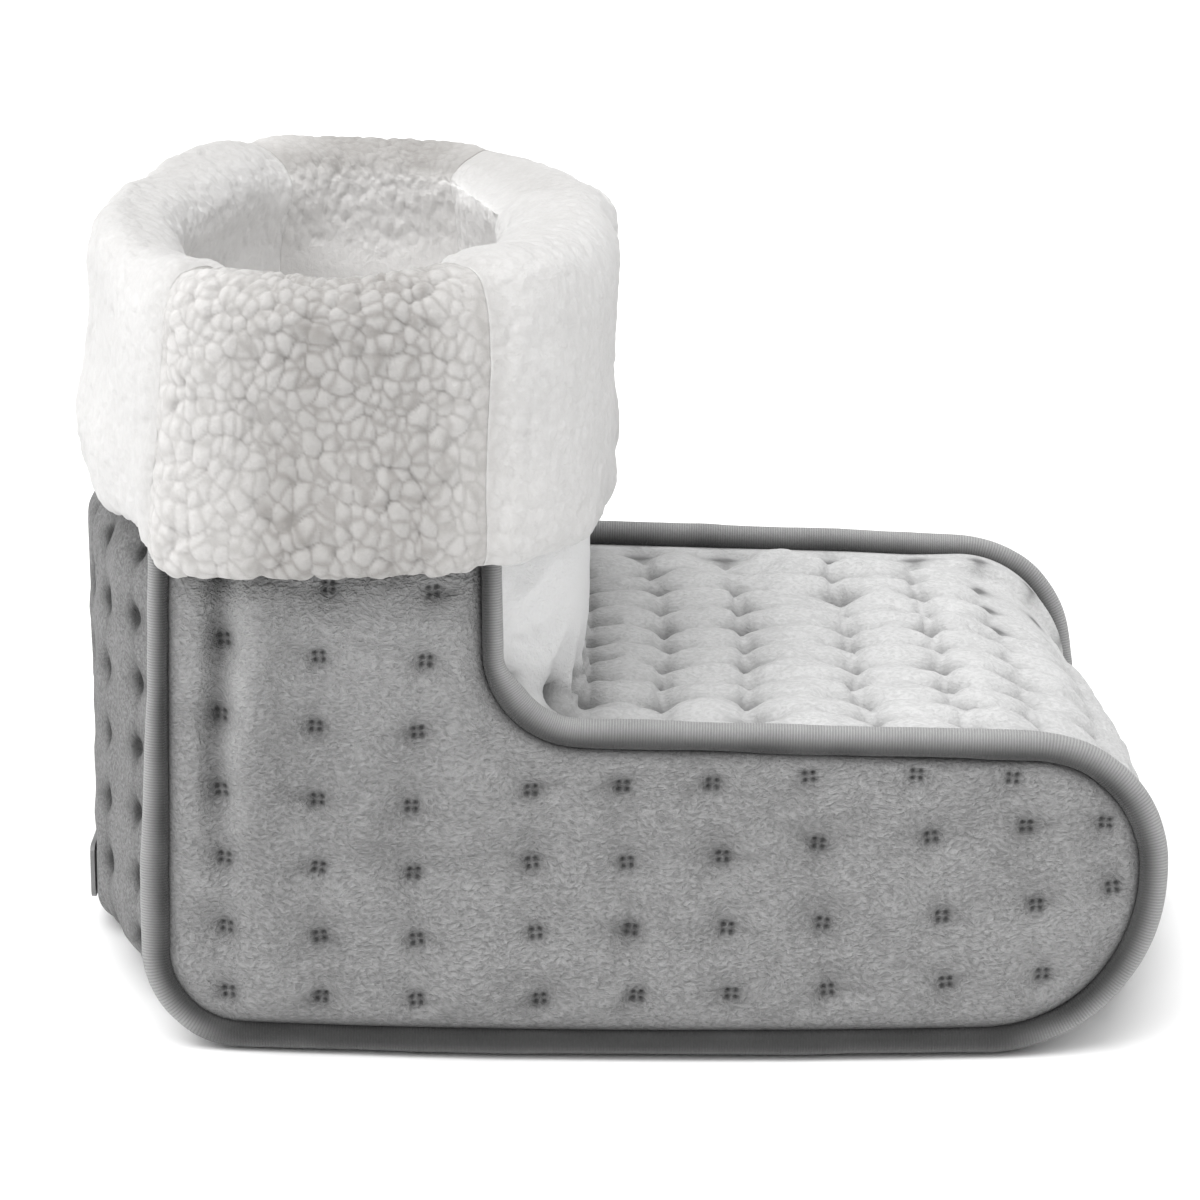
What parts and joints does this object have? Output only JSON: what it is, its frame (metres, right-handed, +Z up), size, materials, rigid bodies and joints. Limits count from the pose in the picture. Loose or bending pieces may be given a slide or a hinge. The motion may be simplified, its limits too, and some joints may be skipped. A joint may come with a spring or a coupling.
{
  "type": "electric foot warmer",
  "caption": "Boot-shaped quilted plush foot warmer for two feet, with ribbed edge binding and a folded fleece cuff round the mouth.",
  "frame": {"origin": "middle of the footprint, on the floor", "axes": "+X towards the toe, +Y towards the wearer's left, +Z up through the mouth"},
  "size_m": [0.3508, 0.2852, 0.2408],
  "materials": {
    "plush": "short-pile plush, mid grey",
    "sole_cloth": "woven cloth, dark grey",
    "binding": "ribbed tape, grey",
    "fleece": "curly fleece, off-white",
    "wadding": "loose fibre",
    "foam": "open-cell foam",
    "carrier": "non-woven",
    "wire": "smooth sleeve",
    "sleeve": "shrunk tube",
    "lead": "smooth sleeve",
    "inlet": "moulded",
    "contact": "plated"
  },
  "bodies": {
    "root": {"right_side_cover": "plush", "left_side_cover": "plush", "upper_cover": "plush", "heel_cover": "plush", "sole_cover": "sole_cloth", "right_binding": "binding", "left_binding": "binding", "right_cuff_panel": "fleece", "left_cuff_panel": "fleece", "front_cuff_panel": "fleece", "heel_cuff_panel": "fleece", "right_side_wadding": "wadding", "left_side_wadding": "wadding", "upper_wadding": "wadding", "heel_wadding": "wadding", "right_side_liner": "fleece", "left_side_liner": "fleece", "upper_liner": "fleece", "heel_liner": "fleece", "footbed_liner": "fleece", "sole_foam": "foam", "heater_base_fleece": "carrier", "heater_top_fleece": "carrier", "heating_wire": "wire", "splice_sleeve": "sleeve", "thermal_cutout": "contact", "temperature_sensor": "sleeve", "heater_lead_right": "lead", "heater_lead_left": "lead", "sensor_lead_right": "lead", "sensor_lead_left": "lead", "inlet_housing": "inlet", "inlet_retaining_frame": "inlet", "contact_pin_1": "contact", "contact_pin_2": "contact", "contact_pin_3": "contact", "contact_pin_4": "contact"}
  },
  "joints": []
}
